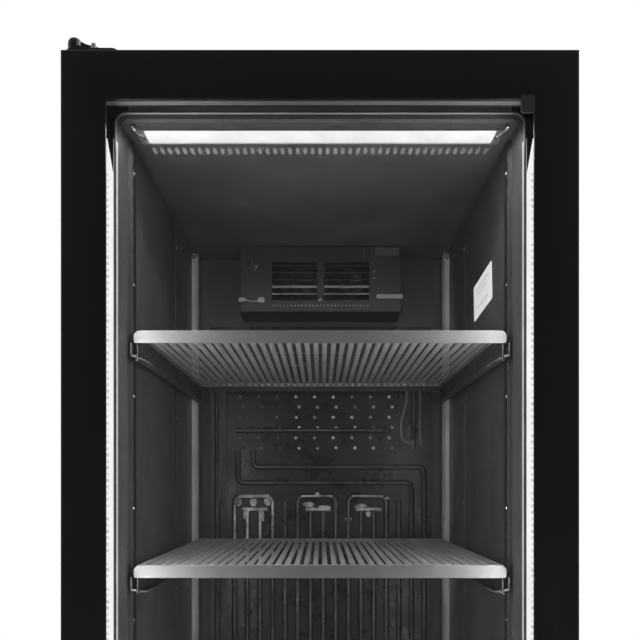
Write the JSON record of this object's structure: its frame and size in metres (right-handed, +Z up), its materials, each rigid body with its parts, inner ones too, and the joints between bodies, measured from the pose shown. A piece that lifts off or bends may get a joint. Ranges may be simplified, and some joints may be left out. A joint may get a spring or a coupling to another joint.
{
  "type": "glass door merchandiser",
  "caption": "Upright refrigerated display cabinet with a hinged glass door, slatted shelves on side rails, LED lamps and a condensing unit in the base.",
  "frame": {"origin": "centre of the footprint, on the floor under the levelling feet", "axes": "+Z up, -Y out of the door towards the user, +X to the user's right facing the door"},
  "size_m": [0.686, 0.737, 1.998],
  "materials": {
    "cabinet_steel": "satin black powder coat",
    "door_frame": "satin black coated extrusion",
    "liner": "smooth grey liner sheet",
    "face_frame": "black moulded plastic",
    "foam": "rigid polyurethane foam",
    "glass": "clear toughened glass",
    "spacer": "satin spacer bar",
    "gasket": "matt black magnetic gasket",
    "handle": "black moulded handle",
    "hinge": "black coated steel",
    "shelf": "grey epoxy-coated steel",
    "rail": "plain steel",
    "pilaster": "slotted steel strip",
    "evaporator": "dark coated roll-bond plate",
    "dark_plastic": "dark moulded plastic",
    "lamp_body": "anodised channel",
    "lamp_lens": "frosted lit diffuser",
    "compressor": "gloss black enamel",
    "coil": "bare fins",
    "zinc": "zinc-plated sheet",
    "foot": "black levelling foot"
  },
  "bodies": {
    "cabinet": {"side_panel_left": "cabinet_steel", "side_panel_right": "cabinet_steel", "top_panel": "cabinet_steel", "rear_panel": "cabinet_steel", "bottom_panel": "zinc", "foam_core": "foam", "liner_left": "liner", "liner_right": "liner", "liner_ceiling": "liner", "liner_floor": "liner", "liner_back": "liner", "face_frame": "face_frame", "base_tray": "zinc", "front_grille": "cabinet_steel", "rear_grille": "cabinet_steel", "power_inlet": "dark_plastic", "compressor": "compressor", "condenser_coil": "coil", "condenser_fan_shroud": "zinc", "condensate_pan": "dark_plastic", "fan_housing": "dark_plastic", "fan_motor_left": "dark_plastic", "fan_motor_right": "dark_plastic", "evaporator_plate": "evaporator", "pilaster_front_left": "pilaster", "pilaster_front_right": "pilaster", "pilaster_rear_left": "pilaster", "pilaster_rear_right": "pilaster", "top_lamp_housing": "lamp_body", "top_lamp_lens": "lamp_lens", "side_lamp_left": "lamp_lens", "side_lamp_right": "lamp_lens", "top_hinge": "hinge", "bottom_hinge": "hinge", "shelf_rail_left_1": "rail", "shelf_rail_right_1": "rail", "shelf_rail_left_2": "rail", "shelf_rail_right_2": "rail", "shelf_rail_left_3": "rail", "shelf_rail_right_3": "rail", "shelf_rail_left_4": "rail", "shelf_rail_right_4": "rail"},
    "door": {"door_frame": "door_frame", "outer_glass": "glass", "inner_glass": "glass", "glass_spacer": "spacer", "door_gasket": "gasket", "door_handle": "handle"},
    "fan_left": {"fan_blades_left": "dark_plastic"},
    "fan_right": {"fan_blades_right": "dark_plastic"},
    "condenser_fan": {"condenser_fan_blades": "zinc"},
    "thermostat": {"thermostat_knob": "dark_plastic"},
    "shelf_1": {"shelf_1": "shelf"},
    "shelf_2": {"shelf_2": "shelf"},
    "shelf_3": {"shelf_3": "shelf"},
    "shelf_4": {"shelf_4": "shelf"},
    "foot_front_left": {"foot_front_left": "foot"},
    "foot_front_right": {"foot_front_right": "foot"},
    "foot_rear_left": {"foot_rear_left": "foot"},
    "foot_rear_right": {"foot_rear_right": "foot"}
  },
  "joints": [
    {"name": "door_swing", "type": "hinge", "parent": "cabinet", "child": "door", "pos_m": [-0.331, -0.3015, 1.119], "axis": [0, 0, -1], "range_deg": [0, 110], "stiffness_Nm_per_rad": 3, "springref_deg": -57.3},
    {"name": "shelf_1_lift", "type": "slide", "parent": "cabinet", "child": "shelf_1", "axis": [0, 0, 1], "range_m": [0, 0.03]},
    {"name": "shelf_2_lift", "type": "slide", "parent": "cabinet", "child": "shelf_2", "axis": [0, 0, 1], "range_m": [0, 0.03]},
    {"name": "shelf_3_lift", "type": "slide", "parent": "cabinet", "child": "shelf_3", "axis": [0, 0, 1], "range_m": [0, 0.03]},
    {"name": "shelf_4_lift", "type": "slide", "parent": "cabinet", "child": "shelf_4", "axis": [0, 0, 1], "range_m": [0, 0.03]},
    {"name": "fan_left_spin", "type": "hinge", "parent": "cabinet", "child": "fan_left", "pos_m": [-0.057, 0.2595, 1.8435], "axis": [0, 1, 0], "continuous": true},
    {"name": "fan_right_spin", "type": "hinge", "parent": "cabinet", "child": "fan_right", "pos_m": [0.057, 0.2595, 1.8435], "axis": [0, 1, 0], "continuous": true},
    {"name": "condenser_fan_spin", "type": "hinge", "parent": "cabinet", "child": "condenser_fan", "pos_m": [-0.02, -0.1585, 0.16], "axis": [0, 1, 0], "continuous": true},
    {"name": "thermostat_turn", "type": "hinge", "parent": "cabinet", "child": "thermostat", "pos_m": [-0.1485, 0.2265, 1.8755], "axis": [0, -1, 0], "range_deg": [0, 270]},
    {"name": "foot_front_left_height", "type": "slide", "parent": "cabinet", "child": "foot_front_left", "axis": [0, 0, -1], "range_m": [0, 0.02]},
    {"name": "foot_front_right_height", "type": "slide", "parent": "cabinet", "child": "foot_front_right", "axis": [0, 0, -1], "range_m": [0, 0.02]},
    {"name": "foot_rear_left_height", "type": "slide", "parent": "cabinet", "child": "foot_rear_left", "axis": [0, 0, -1], "range_m": [0, 0.02]},
    {"name": "foot_rear_right_height", "type": "slide", "parent": "cabinet", "child": "foot_rear_right", "axis": [0, 0, -1], "range_m": [0, 0.02]}
  ]
}
